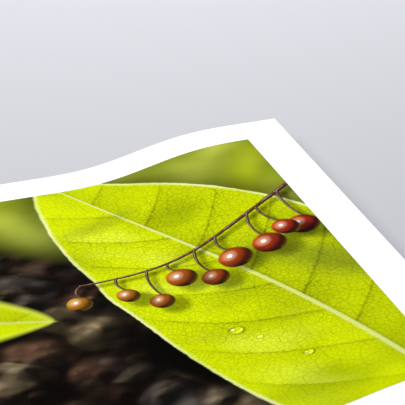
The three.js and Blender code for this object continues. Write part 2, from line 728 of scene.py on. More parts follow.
@dataclass(frozen=True)
class Leaf(Blade):
    """A leaf near the focus: pale rim, midrib, side veins, and a fine net between them.

    Attributes:
        net: How strong the veins and the net are.
        sheen: How much of the gleam shows.
    """

    VEINS: ClassVar[float] = 9.0  # how many side veins each half has
    RAKE: ClassVar[float] = 0.75  # how much they slant to the tip where they start
    ARCH: ClassVar[float] = 1.6  # how much more they slant further out
    WAVER: ClassVar[float] = 0.005  # the share of the leaf's length by which they waver
    SLANT: ClassVar[float] = 0.78  # how much nearer two of them lie than their starts
    FADE: ClassVar[Pair] = (1.0, 0.8)  # the shares of the way out where they end and are full
    VEIN: ClassVar[float] = 0.24  # how much darker they are
    VEIN_REACH: ClassVar[Pair] = (0.8, 0.4)  # how far aside they reach, at the midrib and the edge
    VEIN_CORE: ClassVar[float] = 0.1  # millimetres aside within which they are at their darkest
    HOLLOW: ClassVar[Mark] = Mark(0.07, 3.2, 0.2)  # the soft dip round one, by millimetres aside
    STRIP: ClassVar[float] = 0.13  # the run from light to dark between two of them
    WEB: ClassVar[Mark] = Mark(0.17, 0.06, 0.012)  # the coarse net, by shares of a cell from a wall
    MESH: ClassVar[Mark] = Mark(0.22, 0.16, 0.02)  # the fine net
    PILLOW: ClassVar[Mark] = Mark(0.06, 0.12, 0.5)  # the lighter middle of a fine cell
    GROOVE: ClassVar[Mark] = Mark(0.08, 10.0, 0.0)  # its groove, by millimetres from the midrib
    RIB: ClassVar[Rgb] = linear("d8e08a")
    RIB_SHARE: ClassVar[float] = 0.75
    RIB_REACH: ClassVar[Pair] = (1.35, 0.75)  # half widths at the base, where it starts and is full
    RIB_BLUR: ClassVar[Pair] = (0.6, -0.4)  # how far blur moves them
    NARROWING: ClassVar[float] = 0.75  # how much thinner the midrib is at the tip
    FURROW: ClassVar[float] = 0.22  # how dark the shade beside the midrib is
    FURROW_PLACE: ClassVar[float] = 1.5  # how far right of the midrib its middle is, at the base
    FURROW_REACH: ClassVar[float] = 1.6  # its half width there
    GLEAM: ClassVar[Rgb] = linear("e4ee5c")
    GLEAM_CLOUD: ClassVar[Pair] = (-0.08, 0.2)  # broad clouds' levels where it starts and is full
    GLEAM_OUT: ClassVar[Pair] = (0.05, 0.4)  # the same for the share of the way out from the midrib
    GLEAM_IN: ClassVar[Pair] = (0.98, 0.55)  # and from the edge
    GLEAM_STRIP: ClassVar[Pair] = (0.9, 0.25)  # and for the share of the way between two side veins
    DULL: ClassVar[Pair] = (-0.1, 0.42)  # where clouds start to dull it, and where they fully do
    DULL_SHARE: ClassVar[float] = 0.8  # how much of the dark colour shows there
    SECOND_CLOUD: ClassVar[float] = 0.6  # how strong the second of those clouds is

    rim_share: float = 0.85
    ripple: float = 0.6
    net: float = 1.0
    sheen: float = 0.24

    @classmethod
    def ramp(cls, ink: Given, spot: Spot) -> Shade:
        """The share of the way from one side vein to the next.

        A side vein is a line of equal phase: the way along less a parabola of the way out, so that
        it leaves the midrib at a slant and arches to the tip. The two halves' veins alternate.

        Args:
            ink: The group's inputs.
            spot: Where the point is on the leaf.

        Returns:
            0 just past a vein, and 1 just before the next.
        """
        slope = spot.out / ink.length
        phase = spot.share - slope * cls.RAKE - slope * slope * cls.ARCH + ink.crumb * cls.WAVER
        return (phase * cls.VEINS + spot.side * 0.5).fraction()

    @classmethod
    def relief(cls, ink: Given, spot: Spot, ramp: Shade) -> Shade:
        """How light the blade's relief and its veins make it.

        The blade swells between the side veins, so each strip runs from light to dark. The net is
        the walls of two patterns of cells.

        Args:
            ink: The group's inputs.
            spot: Where the point is on the leaf.
            ramp: The share of the way from one side vein to the next.

        Returns:
            What to multiply the blade's colour by.
        """
        strip = ramp - 0.5
        aside = (0.5 - abs(strip)) * ink.length * (cls.SLANT / cls.VEINS)
        fade = spot.outward.rise(*cls.FADE)
        reach = spot.outward.between(*cls.VEIN_REACH) + ink.blur * 0.5
        veins = (aside.rise(reach, cls.VEIN_CORE) * cls.VEIN + cls.HOLLOW.at(aside)) * fade
        net = cls.WEB.at(ink.web) + cls.MESH.at(ink.mesh) - cls.PILLOW.at(ink.mesh)
        halves = 1.0 + ink.fold * (spot.side - 0.5)
        broad = halves - strip * fade * cls.STRIP - cls.GROOVE.at(spot.out)
        return broad - (veins + net) * (ink.net * ink.sharp)

    @classmethod
    def midrib(cls, ink: Given, spot: Spot, colour: Tint) -> Tint:
        """Adds the midrib and the shade on its right.

        Args:
            ink: The group's inputs.
            spot: Where the point is on the leaf.
            colour: The colour of the blade.

        Returns:
            The colour with the midrib.
        """
        width = 1.0 - spot.share * cls.NARROWING
        start = width * cls.RIB_REACH[0] + ink.blur * cls.RIB_BLUR[0]
        full = width * cls.RIB_REACH[1] + ink.blur * cls.RIB_BLUR[1]
        furrow = abs(spot.across + width * cls.FURROW_PLACE).rise(width * cls.FURROW_REACH, 0.0)
        shaded = colour * (1.0 - furrow * cls.FURROW)
        return shaded.towards(cls.RIB, spot.out.rise(start, full) * cls.RIB_SHARE)

    @classmethod
    def surface(cls, ink: Given, spot: Spot) -> Tint:
        """The colour of the leaf's face: two tones in clouds, the gleam, the relief and the midrib.

        Args:
            ink: The group's inputs.
            spot: Where the point is on the leaf.

        Returns:
            The colour there.
        """
        ramp = cls.ramp(ink, spot)
        dull = (ink.tone + ink.patch * cls.SECOND_CLOUD).rise(*cls.DULL)
        swell = spot.outward.rise(*cls.GLEAM_OUT) * spot.outward.rise(*cls.GLEAM_IN)
        gleam = swell * ramp.rise(*cls.GLEAM_STRIP) * ink.haze.rise(*cls.GLEAM_CLOUD) * spot.side
        colour = ink.light.towards(ink.dark, dull * cls.DULL_SHARE)
        colour = colour.towards(cls.GLEAM, gleam * ink.sheen)
        return cls.midrib(ink, spot, colour * cls.relief(ink, spot, ramp))


@dataclass(frozen=True)
class Stem(Motif):
    """A thin round stalk between two points, with its shadow. Lengths are in millimetres.

    Attributes:
        start: Its thick end.
        end: Its thin end.
        radii: Its radius at either end.
        bow: How far its middle is off the straight line.
        blur: Half the width over which its edge fades out.
        dark: The colour of its shaded side.
        light: The colour of its lit side.
    """

    ROUGH: ClassVar[float] = 0.5  # how far fine clouds swell it
    GLOSS: ClassVar[Mark] = Mark(0.3, 0.34, 0.0)  # the light along it, by radii from its middle
    GLOSS_PLACE: ClassVar[float] = 0.45  # how far towards the sun its middle is, in radii
    GLOSS_CLOUD: ClassVar[Pair] = (-0.2, 0.2)  # where fine clouds start it, and where it is full
    SHADOW: ClassVar[float] = 0.5  # how dark its shadow is
    SHADOW_REACH: ClassVar[float] = 1.6  # how far the shadow spreads
    SHADOW_CORE: ClassVar[float] = 0.3  # the share of the radius within which it is at its darkest
    DROP: ClassVar[Point] = (1.6, -2.6)  # the step from the stalk to its shadow

    start: Point
    end: Point
    radii: Pair
    bow: float
    blur: float
    dark: Rgb = linear("2a1710")
    light: Rgb = linear("8a5a3c")

    def at(self, share: float) -> Point:
        """A point on the stalk's middle line.

        Args:
            share: The share of the way from the start to the end.

        Returns:
            The point.
        """
        (u, v), (end_u, end_v) = self.start, self.end
        du, dv = end_u - u, end_v - v
        aside = bowed(self.bow, share) / math.hypot(du, dv)
        return u + du * share - dv * aside, v + dv * share + du * aside

    def sockets(self) -> dict[str, float | Rgb]:
        """The stalk's axes, radii and colours, with the light and the shadow's step in its axes.

        Returns:
            The sockets' numbers and colours by name.
        """
        turn = math.atan2(self.end[1] - self.start[1], self.end[0] - self.start[0])
        radii = {"radius": self.radii[0], "tip_radius": self.radii[1]}
        placed = axes(self.start, self.end) | radii | self.own("start", "end", "radii")
        return placed | in_axes("sun", SUN, turn) | in_axes("drop", self.DROP, turn)

    @staticmethod
    def measure(ink: Given, along: Shade, across: Shade) -> tuple[Shade, Shade, Shade]:
        """Measures a point against the stalk's middle line, which is a parabola.

        Args:
            ink: The group's inputs.
            along: How far along the stalk's axes the point is.
            across: How far across them it is.

        Returns:
            How far it is from the line, how far to the left of it, and its share of the way.
        """
        share = (along / ink.length).held()
        beyond = along - share * ink.length
        aside = across - bowed(ink.bow, share)
        return squared(beyond, aside).root(), aside, share

    @classmethod
    def draw(cls, ink: Given) -> Tint:
        """The stalk is what lies within its radius of its middle line, lit across as a rod is.

        Args:
            ink: The group's inputs.

        Returns:
            The colour at a point.
        """
        along, across = turned(ink)
        distance, aside, share = cls.measure(ink, along, across)
        radius = share.between(ink.radius, ink.tip_radius) * (1.0 + ink.crumb * cls.ROUGH)
        fallen, _, _ = cls.measure(ink, along - ink.drop_along, across - ink.drop_across)
        shadow = fallen.rise(radius + cls.SHADOW_REACH, radius * cls.SHADOW_CORE) * cls.SHADOW
        under = ink.under * (1.0 - shadow)
        level = aside / radius
        lit = (level * ink.sun_across * 0.5 + 0.5).held()
        colour = ink.dark.towards(ink.light, lit * lit)
        gloss = cls.GLOSS.at(abs(level - ink.sun_across * cls.GLOSS_PLACE))
        colour = colour.towards(NEAR_WHITE, gloss * ink.crumb.rise(*cls.GLOSS_CLOUD))
        return under.towards(colour, distance.rise(radius + ink.blur, radius - ink.blur))


@dataclass(frozen=True)
class Berry(Oval):
    """A glossy berry with a dark eye at its lower end, and its shadow. Its second axis is longer.

    Attributes:
        deep: Its colour in the shade.
        skin: Its colour in the light.
        flush: Its colour where it faces the light.
        bounce: The colour that is thrown back on its shaded side.
        blur: How softly its edge fades out, as a share of its size.
    """

    SKIN: ClassVar[Pair] = (0.0, 0.66)  # how squarely lit it is where its colour starts and is full
    FLUSH: ClassVar[Mark] = Mark(0.6, 0.6, 1.0)  # the flush, by the same
    BOUNCE: ClassVar[Mark] = Mark(0.28, -0.35, -1.0)  # light thrown back, by radii towards the sun
    BOUNCE_HEIGHT: ClassVar[Pair] = (0.8, 0.15)  # how high the face is where it starts and is full
    SPECKLED: ClassVar[float] = 0.35  # how far fine clouds lighten and darken the skin
    CROWN: ClassVar[Mark] = Mark(0.5, 0.62, 1.0)  # the shade under the stalk, by half lengths up
    CROWN_ASIDE: ClassVar[Pair] = (0.6, 0.1)  # how far aside it starts and is full, in half widths
    EYE: ClassVar[Mark] = Mark(0.9, 0.34, 0.2)  # the eye, by radii from its middle
    EYE_COLOUR: ClassVar[Rgb] = (0.012, 0.006, 0.004)
    EYE_PLACE: ClassVar[float] = -0.9  # how far up it is, in half lengths
    EYE_SQUASH: ClassVar[float] = 2.0  # the square of how much wider than high it is
    MIRROR: ClassVar[float] = 0.3  # how far towards the light the sky is mirrored, in radii
    MIRROR_SQUASH: ClassVar[float] = 1.6  # the square of how much wider across the light it is
    SKY: ClassVar[Pair] = (0.032, 0.01)  # the squared radii from there where it starts and is full
    SKY_SHARE: ClassVar[float] = 0.82  # how much of it shows where fine clouds are even
    HALO: ClassVar[Mark] = Mark(0.28, 0.24, 0.0)  # the glow round it, by squared radii from there
    HALO_COLOUR: ClassVar[Rgb] = (1.0, 0.78, 0.55)
    SHADOW: ClassVar[Mark] = Mark(0.6, 2.3, 0.25)  # by squared radii from the shadow's middle
    DROP: ClassVar[Point] = (3.0, -4.2)  # the step from the berry to its shadow, in millimetres

    deep: Rgb
    skin: Rgb
    flush: Rgb
    bounce: Rgb
    blur: float

    def sockets(self) -> dict[str, float | Rgb]:
        """An oval's sockets, and the step to its shadow, in its axes and radii.

        Returns:
            The sockets' numbers and colours by name.
        """
        drop = in_axes("drop", self.DROP, math.radians(self.turn))
        parts = zip(drop.items(), self.radii, strict=True)
        return super().sockets() | {name: part / radius for (name, part), radius in parts}

    @classmethod
    def body(cls, ink: Given, x: Shade, y: Shade, facing: Shade) -> Tint:
        """The berry without its gloss: an ellipsoid, coloured by how squarely light falls on it.

        Args:
            ink: The group's inputs.
            x: How far to the right the point is, in half widths.
            y: How far up it is, in half lengths.
            facing: How far towards the light it is, in radii.

        Returns:
            The colour there.
        """
        height = (1.0 - squared(x, y)).at_least(0.0).root()
        lit = (facing + height * SUN.z).held()
        colour = ink.deep.towards(ink.skin, lit.rise(*cls.SKIN))
        colour = colour.towards(ink.flush, cls.FLUSH.at(lit))
        colour = colour.towards(ink.bounce, cls.BOUNCE.at(facing) * height.rise(*cls.BOUNCE_HEIGHT))
        crown = cls.CROWN.at(y) * abs(x).rise(*cls.CROWN_ASIDE)
        below = y - cls.EYE_PLACE
        eye = (x * x + below * below * cls.EYE_SQUASH).root()
        colour = colour * ((1.0 + ink.speck * cls.SPECKLED) * (1.0 - crown))
        return colour.towards(cls.EYE_COLOUR, cls.EYE.at(eye))

    @classmethod
    def draw(cls, ink: Given) -> Tint:
        """The berry over what lies under it, with its shadow and the sky's reflection.

        Args:
            ink: The group's inputs.

        Returns:
            The colour at a point.
        """
        x, y = cls.find(ink)
        under = ink.under * (1.0 - cls.SHADOW.at(squared(x - ink.drop_along, y - ink.drop_across)))
        facing = x * ink.sun_along + y * ink.sun_across
        beside = x * ink.sun_across - y * ink.sun_along
        ahead = facing - cls.MIRROR
        sky = ahead * ahead * cls.MIRROR_SQUASH + beside * beside
        colour = cls.body(ink, x, y, facing).towards(cls.HALO_COLOUR, cls.HALO.at(sky))
        colour = colour.towards(NEAR_WHITE, sky.rise(*cls.SKY) * (ink.crumb + cls.SKY_SHARE))
        return under.towards(colour, squared(x, y).rise(1.0 + ink.blur, 1.0 - ink.blur))


@dataclass(frozen=True)
class Dewdrop(Oval):
    """A drop of water on a leaf: it bends light to its far side and mirrors the sky in a point."""

    DIMMED: ClassVar[Mark] = Mark(0.42, 0.0, 1.0)  # its darker side, by radii towards the light
    GATHERED: ClassVar[Mark] = Mark(0.75, 0.55, -0.9)  # its lighter side, by the same
    HEART: ClassVar[Mark] = Mark(0.5, -0.35, -0.8)  # the brightest colour there
    HEART_EDGE: ClassVar[Pair] = (1.0, 0.55)  # the squared radii where it starts and is full
    HEART_COLOUR: ClassVar[Rgb] = (0.86, 0.95, 0.45)
    RIM: ClassVar[Mark] = Mark(0.4, 0.72, 1.0)  # its darker outline, by squared radii
    MIRROR: ClassVar[float] = 0.5  # how far towards the light the sky is mirrored, in radii
    SKY: ClassVar[Mark] = Mark(0.95, 0.07, 0.02)  # its image, by squared radii from there
    SHADOW: ClassVar[Mark] = Mark(0.45, 1.7, 0.8)  # by squared radii from the shadow's middle
    AWAY: ClassVar[float] = 0.45  # how far from the light the shadow lies, in radii
    EDGE: ClassVar[Pair] = (1.06, 0.94)  # the squared radii where the drop starts and is full

    @classmethod
    def draw(cls, ink: Given) -> Tint:
        """Darkens the lit side, lightens the far side and lays a shadow beyond it.

        Args:
            ink: The group's inputs.

        Returns:
            The colour at a point.
        """
        x, y = cls.find(ink)
        square = squared(x, y)
        facing = x * ink.sun_along + y * ink.sun_across
        shadow = squared(x + ink.sun_along * cls.AWAY, y + ink.sun_across * cls.AWAY)
        sky = squared(x - ink.sun_along * cls.MIRROR, y - ink.sun_across * cls.MIRROR)
        under = ink.under * (1.0 - cls.SHADOW.at(shadow))
        body = ink.under * (1.0 + cls.GATHERED.at(facing) - cls.DIMMED.at(facing))
        body = body.towards(cls.HEART_COLOUR, cls.HEART.at(facing) * square.rise(*cls.HEART_EDGE))
        body = (body * (1.0 - cls.RIM.at(square))).towards(NEAR_WHITE, cls.SKY.at(sky))
        return under.towards(body, square.rise(*cls.EDGE))


# -------------------------------------------------------------------------------------------------
# The printed picture: composition
# -------------------------------------------------------------------------------------------------

SOIL_DEEP = linear("040201")
LIME = linear("c3d300")
LIME_PALE = linear("dce65c")
LIME_DARK = linear("98a702")
SPRING = linear("c0cc50")
OLIVE = linear("7f8a18")
MOSS = linear("47521a")
CREAM = linear("e9efae")
STRAW = linear("c2ae80")
UMBER = linear("4a3527")
CLAY = linear("7d5b44")
ASH = linear("8b8580")


@dataclass(frozen=True)
class Sprig:
    """A bowed stem that carries berries on short stalks, riper towards its thick end.

    Attributes:
        start: The stem's thick end.
        end: Its tip.
        bow: How far its middle is off the straight line.
        radii: Its radius at either end.
        edge: Half the width over which its edge fades out.
        stalk_bow: How far a stalk's middle is off the straight line.
        stalk_radii: A stalk's radius at either end.
        berries: How many berries it carries, in turn on the far and the near side.
        first: The share of the stem before the first stalk.
        size: The half width of the first berry.
        smaller: How much smaller the last one is, as a share.
        slender: How much longer a berry is than wide.
        steps: The steps from a stalk's top to its berry's middle, on either side.
        turns: The turns of a berry's length from upright, in degrees, on either side.
        higher: How much higher the last berry hangs.
        grip: How far up a berry its stalk ends, in half widths.
        loose: How unlike the berries are: in size, sideways, in height, in turn and along the stem.
        blurs: How softly the first and the last berry are drawn, as a share of their size.
        unripe: A green berry's colours in the shade, in the light and facing the light.
        ripe: A ripe one's.
        greener: How far from ripe the last berry is.
        leaf_bounce: How much of the leaf's colour is thrown back on a ripe berry, where 1 is all.
        seed: What the unlikeness is drawn from.
    """

    start: Point = (284, 160)
    end: Point = (190, 109)
    bow: float = 13.0
    radii: Pair = (1.25, 0.6)
    edge: float = 0.12
    stalk_bow: float = -1.4
    stalk_radii: Pair = (0.55, 0.42)
    berries: int = 9
    first: float = 0.26
    size: float = 5.1
    smaller: float = 0.2
    slender: float = 1.24
    steps: tuple[Point, Point] = ((-3.0, -26.0), (2.0, -19.0))
    turns: Pair = (-8.0, 6.0)
    higher: float = 10.0
    grip: float = 1.1
    loose: tuple[float, ...] = (0.8, 4.0, 4.5, 14.0, 0.035)
    blurs: Pair = (0.17, 0.05)
    unripe: tuple[Rgb, ...] = (linear("4a3408"), linear("a8741a"), linear("dcb648"))
    ripe: tuple[Rgb, ...] = (linear("34090a"), linear("8c240e"), linear("d05a26"))
    greener: float = 0.75
    leaf_bounce: float = 1.5
    seed: int = 15

    def berry(self, centre: Point, size: float, turn: float, ripeness: float, blur: float) -> Berry:
        """Makes a berry. Past the leaf, where they are greener, the soil throws back less green.

        Args:
            centre: Its middle.
            size: Its half width.
            turn: The turn of its length, in degrees.
            ripeness: How ripe it is, from 0 to 1.
            blur: How softly it is drawn.

        Returns:
            The berry.
        """
        colours = (blend(a, b, ripeness) for a, b in zip(self.unripe, self.ripe, strict=True))
        bounce = blend(CLAY, LIME_DARK, min(1.0, self.leaf_bounce * ripeness))
        return Berry(centre, (size, size * self.slender), *colours, bounce, blur, turn=turn)

    def motifs(self) -> list[Motif]:
        """Makes the sprig.

        Returns:
            The stem, and then each stalk with its berry.
        """
        random = np.random.default_rng(self.seed)
        stem = Stem(self.start, self.end, self.radii, self.bow, self.edge)
        shapes: list[Motif] = [stem]
        last = self.berries - 1
        for number in range(self.berries):
            bigger, right, up, more, later = random.uniform(-1.0, 1.0, len(self.loose)) * self.loose
            way = number / last + later * (number < last)
            top = stem.at(self.first + (1.0 - self.first) * way)
            step = self.steps[number % 2]
            centre = (top[0] + step[0] + right, top[1] + step[1] + self.higher * way + up)
            size = self.size * (1.0 - self.smaller * way) + bigger
            turn = self.turns[number % 2] + more
            lean = math.radians(turn)
            reach = self.grip * size
            crown = (centre[0] - math.sin(lean) * reach, centre[1] + math.cos(lean) * reach)
            blur = self.blurs[0] + (self.blurs[1] - self.blurs[0]) * way
            shapes.append(Stem(top, crown, self.stalk_radii, self.stalk_bow, self.edge + blur))
            shapes.append(self.berry(centre, size, turn, 1.0 - self.greener * way**2, blur))
        return shapes


@dataclass(frozen=True)
class Gravel:
    """A bed of pebbles out of focus, each lit on the side that faces the sun.

    Attributes:
        size: The width of a pebble, in millimetres.
        blur: How softly the pebbles meet, from 0 to 1.
        adrift: How far broad clouds move it.
    """

    CLAYEY: ClassVar[Mark] = Mark(1.0, 0.35, 0.75)  # how far a pebble is clay, by its first number
    ASHEN: ClassVar[Mark] = Mark(0.8, 0.55, 0.8)  # how far it is ash, by its second
    STRAWY: ClassVar[Mark] = Mark(0.7, 0.72, 0.9)  # how far it is straw, by its third
    AHEAD: ClassVar[float] = 0.16  # how far to the sun a pebble's slope is felt, in its widths
    SLOPE: ClassVar[Pair] = (-0.12, 0.2)  # the slopes that are dark and fully lit
    GAP: ClassVar[Pair] = (0.75, 0.3)  # how far from a pebble's middle it is dark and fully light

    size: float
    blur: float
    adrift: float

    def spread(self, book: NodeBook, place: Tint, cloud: Tint) -> tuple[Tint, Shade]:
        """Spreads the pebbles out.

        Args:
            book: The nodes of the material.
            place: Where a point is in the picture.
            cloud: Three broad clouds there.

        Returns:
            The colour, and how much light falls there.
        """
        place = place + cloud * self.adrift
        step = self.size * self.AHEAD
        here, tints = book.pebbles(place, self.size, self.blur)
        ahead, _ = book.pebbles(place + (SUN.x * step, SUN.y * step, 0.0), self.size, self.blur)
        one, two, three = tints.parts()
        colour = book.vector(*UMBER).towards(CLAY, self.CLAYEY.at(one))
        colour = colour.towards(ASH, self.ASHEN.at(two)).towards(STRAW, self.STRAWY.at(three))
        return colour, (ahead - here).rise(*self.SLOPE) * here.rise(*self.GAP)


@dataclass(frozen=True)
class Composition:
    """The picture's motifs, from the back to the front, in millimetres from its lower left corner.

    Attributes:
        size: The picture's width and height.
        stones: The coarse gravel of the soil.
        grit: The fine gravel.
        gritty: How much of the fine gravel's colour shows.
        stones_lit: How light the coarse gravel is where it is dark and where it is lit.
        grit_lit: The same for the fine gravel.
        pool: The width of the soil's pools of shade.
        pool_edge: The clouds' levels where a pool is darkest, and where it ends.
        cloud: The width of the broad clouds.
        crumb: The width of the fine clouds.
        web: The width of a cell in the leaves' coarse net.
        mesh: The width of a cell in their fine net.
        waver: How far fine clouds bend the nets.
        adrift: How far broad clouds move the fine net.
        grain: The width of the print's grain.
        grainy: How far the grain lightens and darkens the print.
        scatter: How far the grain moves what is printed.
        focus: The middle of what is in focus.
        focus_reach: How far from it nothing fine shows, and how far all of it does.
        sharp: How much fine detail shows out of focus and in focus.
        soft: How many times wider an edge is out of focus and in focus.
    """

    size: Pair
    stones: Gravel = Gravel(17.0, 0.55, 16.0)
    grit: Gravel = Gravel(6.5, 0.8, 8.0)
    gritty: float = 0.35
    stones_lit: Pair = (0.05, 0.95)
    grit_lit: Pair = (0.55, 1.25)
    pool: float = 62.0
    pool_edge: Pair = (0.34, 0.62)
    cloud: float = 30.0
    crumb: float = 2.6
    web: float = 5.4
    mesh: float = 1.75
    waver: float = 1.5
    adrift: float = 9.0
    grain: float = 0.35
    grainy: float = 0.06
    scatter: float = 0.05
    focus: Point = (228.0, 98.0)
    focus_reach: Pair = (125.0, 35.0)
    sharp: Pair = (0.25, 1.0)
    soft: Pair = (2.5, 1.0)

    def background(self) -> list[Motif]:
        """Makes the litter on the soil and the leaves far out of focus.

        Returns:
            Two blades of straw and four leaves.
        """
        straw = {"dark": CLAY, "light": STRAW, "rim": STRAW, "fold": 0.4, "reach": 5}
        return [
            Blade((60, -20), (118, 66), 4.2, bow=9, blur=2.0, **straw),
            Blade((196, -14), (128, 40), 3.4, bow=-8, blur=1.6, **straw),
            Blade((-30, 20), (130, 215), 66, MOSS, OLIVE, OLIVE, blur=15),
            Blade(
                (-34, 60), (96, 18), 21, MOSS, LIME_DARK, SPRING, bow=7, blur=5, fold=0.2, reach=18
            ),
            Blade((310, 128), (150, 236), 62, OLIVE, SPRING, SPRING, blur=9, reach=22),
            Blade((318, -30), (266, 176), 46, OLIVE, SPRING, LIME, blur=7, reach=16),
        ]

    def leaves(self) -> list[Motif]:
        """Makes the leaves that show their veins.

        Returns:
            One a little out of focus, and one in focus.
        """
        return [
            Leaf(
                (-30, 190), (176, 88), 42, LIME_DARK, LIME, LIME_PALE, bow=-10, blur=1.7,
                rim_width=2.0, rim_share=0.5, net=0.45, fold=-0.16, ripple=0.2, shadow=0.75,
                reach=16, sheen=0.15,
            ),
            Leaf(
                (272, -40), (198, 192), 44, LIME_DARK, LIME, CREAM, bow=-9, blur=0.35,
                rim_width=1.4, fold=0.16, shadow=0.7, reach=15,
            ),
        ]

    def shade(self) -> list[Motif]:
        """Makes the soft shadows of leaves outside the picture.

        Returns:
            Two shadows on the leaf in focus.
        """
        return [
            Glow((262, 84), (50, 14), MOSS, 0.55, turn=-52),
            Glow((206, 150), (26, 7), MOSS, 0.3, turn=24),
        ]

    def dew(self) -> list[Motif]:
        """Makes the drops of water on the leaf in focus.

        Returns:
            Three drops.
        """
        return [
            Dewdrop((224, 60), (2.4, 2.16)),
            Dewdrop((229, 52), (1.1, 0.99)),
            Dewdrop((238, 34), (1.7, 1.53)),
        ]

    def motifs(self) -> list[Motif]:
        """All motifs, from the back to the front."""
        return self.background() + self.leaves() + self.shade() + self.dew() + Sprig().motifs()

    def soil(self, book: NodeBook, place: Tint, cloud: Tint) -> Tint:
        """Dark forest soil out of focus: gravel of two sizes, under broad pools of shade.

        Args:
            book: The nodes of the material.
            place: Where a point is in the picture.
            cloud: Three broad clouds there.

        Returns:
            The colour of the soil there.
        """
        stones, light = self.stones.spread(book, place, cloud)
        grit, glint = self.grit.spread(book, place, cloud)
        pool, _ = book.noise(place, self.pool, detail=1.0)
        lit = light.between(*self.stones_lit) * glint.between(*self.grit_lit)
        colour = stones.towards(grit, self.gritty) * lit
        return book.vector(*SOIL_DEEP).towards(colour, pool.rise(*self.pool_edge))

    def paint(self, book: NodeBook, place: Tint) -> Tint:
        """Paints the picture.

        All that the motifs read is worked out before them, and the point's own place comes last.
        Each motif is then finished before the next one starts, so that the renderer holds few
        values at once.

        Args:
            book: The nodes of the material.
            place: Where a point is in the picture, in millimetres.

        Returns:
            The colour of the picture there.
        """
        _, cloud = book.noise(place, self.cloud, detail=1.5)
        _, crumb = book.noise(place, self.crumb)
        cloud, crumb = cloud - 0.5, crumb - 0.5
        soil = self.soil(book, place, cloud)
        wavy = place + crumb * self.waver
        web = book.cells(wavy, self.web)
        mesh = book.cells(wavy + cloud * self.adrift, self.mesh)
        grain, scatter = book.noise(place + crumb, self.grain, detail=1.0)
        u, v, _ = (place + scatter * self.scatter).parts()
        focus = squared(u - self.focus[0], v - self.focus[1]).root().rise(*self.focus_reach)
        haze, tone, patch = cloud.parts()
        fine, speck, _ = crumb.parts()
        sharp, soft = focus.between(*self.sharp), focus.between(*self.soft)
        layer = Layer(u, v, haze, tone, patch, fine, speck, web, mesh, sharp, soft, soil)
        for motif in self.motifs():
            layer.under = motif.stamp(book, layer)
        return layer.under * grain.between(1.0 - self.grainy, 1.0 + self.grainy)


# -------------------------------------------------------------------------------------------------
# The sheet
# -------------------------------------------------------------------------------------------------


@dataclass(frozen=True)
class SheetForm:
    """How the flat sheet bends.

    The sheet bends along straight, level rulings that are a little askew of its short side. Across
    them its slope is 0 on the flat, rises and falls as a squared cosine over the wave, and grows
    evenly to the lifted end, so the paper curls without stretching.

    Attributes:
        length: The flat sheet's length.
        width: Its width.
        skew: The angle between the rulings and its short side.
        wave_middle: How far across the rulings, from the middle of the sheet, the wave is steepest.
        wave_half_span: How far the wave reaches to either side of that.
        wave_steepest: The slope there.
        lift_start: How far across the rulings the lifted end starts.
        lift_steepest: The slope at the lifted end.
        step: The length of a step in the running sums.
    """

    length: float = 0.297
    width: float = 0.210
    skew: float = math.radians(3.0)
    wave_middle: float = 0.1047
    wave_half_span: float = 0.0354
    wave_steepest: float = math.radians(13.5)
    lift_start: float = -0.092
    lift_steepest: float = math.radians(5.5)
    step: float = 0.00025

    def slope(self, across: Array) -> Array:
        """The sheet's slope.

        Args:
            across: Distances across the rulings.

        Returns:
            The slope at each of them, in radians.
        """
        wave = np.clip((across - self.wave_middle) / self.wave_half_span, -1.0, 1.0)
        climb = self.wave_steepest * np.cos(wave * math.pi / 2) ** 2
        lift = np.clip((self.lift_start - across) / (self.lift_start + self.length / 2), 0.0, None)
        return climb - self.lift_steepest * lift

    def profile(self, across: Array) -> tuple[Array, Array]:
        """Where the bent sheet is: the running sums of the slope's cosine and sine.

        Args:
            across: Distances across the rulings on the flat sheet.

        Returns:
            How far along the floor, and how high above it, each lies on the bent one.
        """
        reach = math.ceil((self.length + self.width) / 2 / self.step)
        knots = np.arange(-reach, reach + 1) * self.step
        slope = self.slope((knots[:-1] + knots[1:]) / 2)
        parts = (np.cos(slope), np.sin(slope))
        sums = [np.concatenate(([0.0], np.cumsum(part))) * self.step for part in parts]
        along, height = (total - total[reach] for total in sums)
        return np.interp(across, knots, along), np.interp(across, knots, height)

    def bend(self, x: Array, y: Array, lift: Array) -> Array:
        """Bends points of the flat sheet.

        A point's distance across the rulings is looked up in the profile, its height is laid off
        square to the slope there, and its place along the ruling stays.

        Args:
            x: Places along the flat sheet, from its middle.
            y: Places up the flat sheet, from its middle.
            lift: Heights over the sheet's underside.

        Returns:
            One row of three coordinates for each point.
        """
        cosine, sine = math.cos(self.skew), math.sin(self.skew)
        across, on_ruling = x * cosine + y * sine, y * cosine - x * sine
        slope = self.slope(across)
        along, height = self.profile(across)
        along = along - lift * np.sin(slope)
        return np.stack(
            (
                along * cosine - on_ruling * sine,
                along * sine + on_ruling * cosine,
                height + lift * np.cos(slope),
            ),
            axis=1,
        )


class Region(IntEnum):
    """The parts of a slab's surface, which are also the places of their materials."""

    FRONT = 0
    BACK = 1
    RIM = 2


